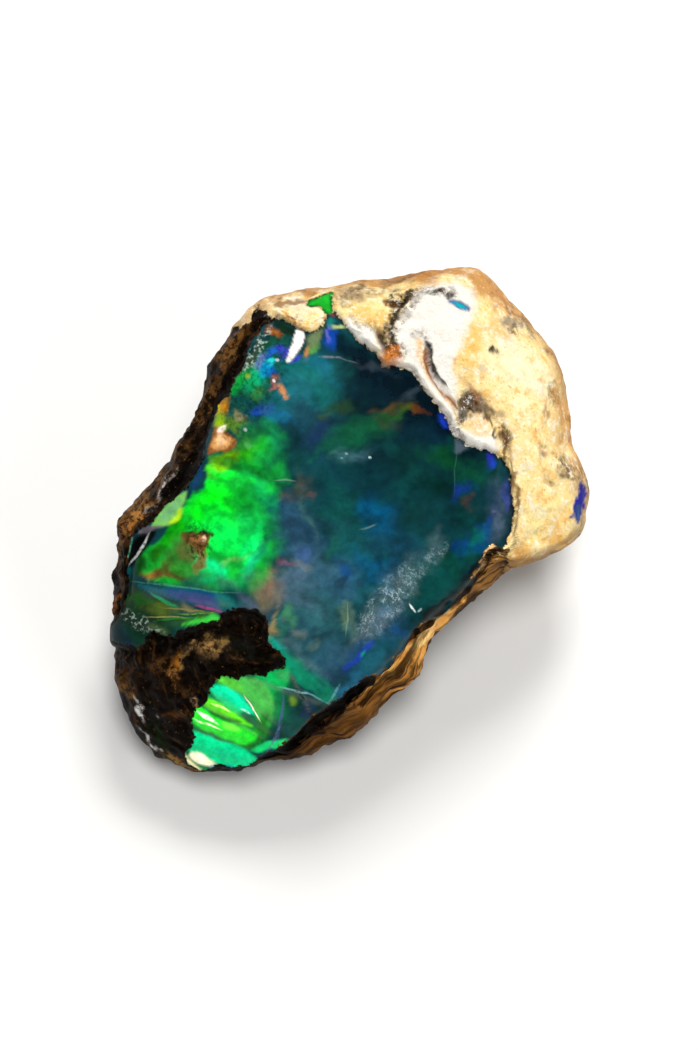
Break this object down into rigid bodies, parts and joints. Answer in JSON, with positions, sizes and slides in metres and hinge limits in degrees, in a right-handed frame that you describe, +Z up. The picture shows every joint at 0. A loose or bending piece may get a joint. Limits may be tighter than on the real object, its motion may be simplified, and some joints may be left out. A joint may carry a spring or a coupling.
{
  "type": "rough opal",
  "caption": "Palm-sized rough opal stone with a glossy dark window of blue and green fire, a brown ironstone rim and a cream matrix shoulder, lying on a broken flat.",
  "frame": {"origin": "middle of the footprint box, on the plane that the stone rests on", "axes": "+Z up out of the rest plane, +Y along the stone towards its cream shoulder, +X across it"},
  "size_m": [0.0306, 0.0442, 0.019],
  "materials": {
    "opal_and_matrix": "wet-polished dark opal with green and blue play of colour, in dull brown ironstone and cream matrix"
  },
  "bodies": {
    "root": {"rough_opal": "opal_and_matrix"}
  },
  "joints": []
}
